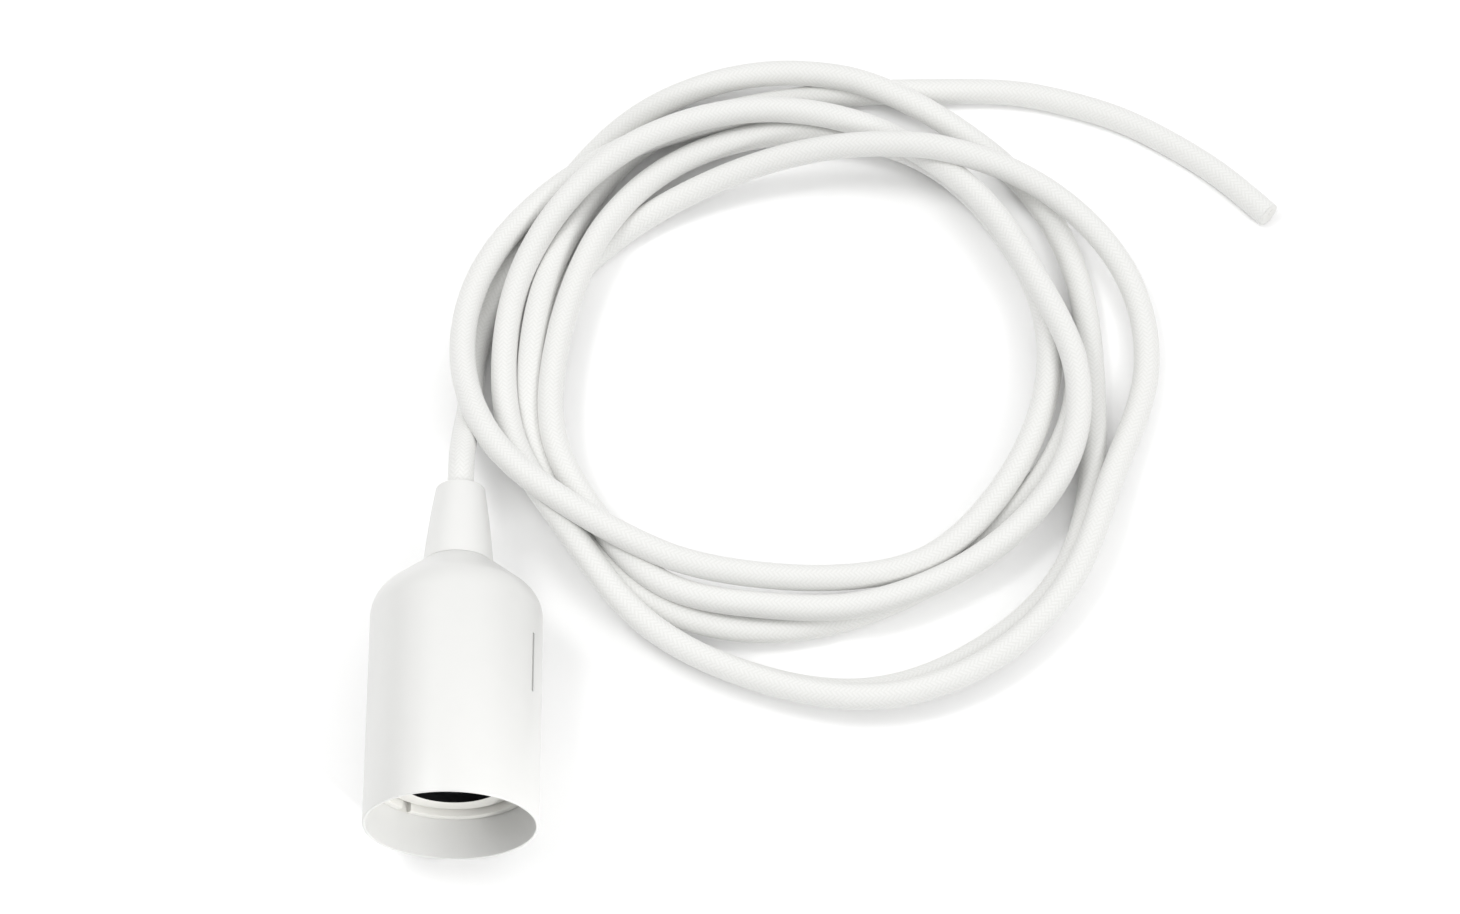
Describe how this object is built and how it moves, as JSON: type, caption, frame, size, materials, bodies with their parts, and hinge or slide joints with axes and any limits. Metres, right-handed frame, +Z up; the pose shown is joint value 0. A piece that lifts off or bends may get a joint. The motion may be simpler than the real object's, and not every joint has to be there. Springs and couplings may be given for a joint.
{
  "type": "pendant cord set",
  "caption": "Pendant lamp holder with a smooth rounded shell and a tapered cord grip, lying on its side, with its round textile cord in a loose coil and a cut end.",
  "frame": {"origin": "on the surface below the middle of the holder, which lies on its side", "axes": "+Y along the holder's axis from its mouth to its cord grip, +Z up, +X towards the loose coil"},
  "size_m": [0.2449, 0.2371, 0.045],
  "materials": {
    "shell_plastic": "smooth white moulding, satin gloss",
    "collar_plastic": "smooth white moulding, slightly matte",
    "sleeve_plastic": "heat resistant off-white moulding",
    "brass": "stamped and turned brass",
    "plated_steel": "zinc plated",
    "copper": "bare stranded copper",
    "brown_insulation": "smooth extruded insulation",
    "blue_insulation": "smooth extruded insulation",
    "textile_braid": "fine white textile braid"
  },
  "bodies": {
    "root": {"outer_shell": "shell_plastic", "grip_collar": "collar_plastic", "grip_jaw_left": "collar_plastic", "grip_jaw_right": "collar_plastic", "thread_sleeve": "sleeve_plastic", "contact_block": "sleeve_plastic", "centre_contact": "brass", "shell_contact": "brass", "rivet_live": "brass", "rivet_neutral": "brass", "terminal_live": "brass", "terminal_neutral": "brass", "terminal_screw_live": "plated_steel", "terminal_screw_neutral": "plated_steel", "block_screw_lower": "plated_steel", "block_screw_upper": "plated_steel", "conductor_live": "copper", "conductor_neutral": "copper", "core_live": "brown_insulation", "core_neutral": "blue_insulation", "cord_end_sheath": "textile_braid", "cord_lead": "textile_braid", "cord_coil": "textile_braid", "cord_tail": "textile_braid"}
  },
  "joints": []
}
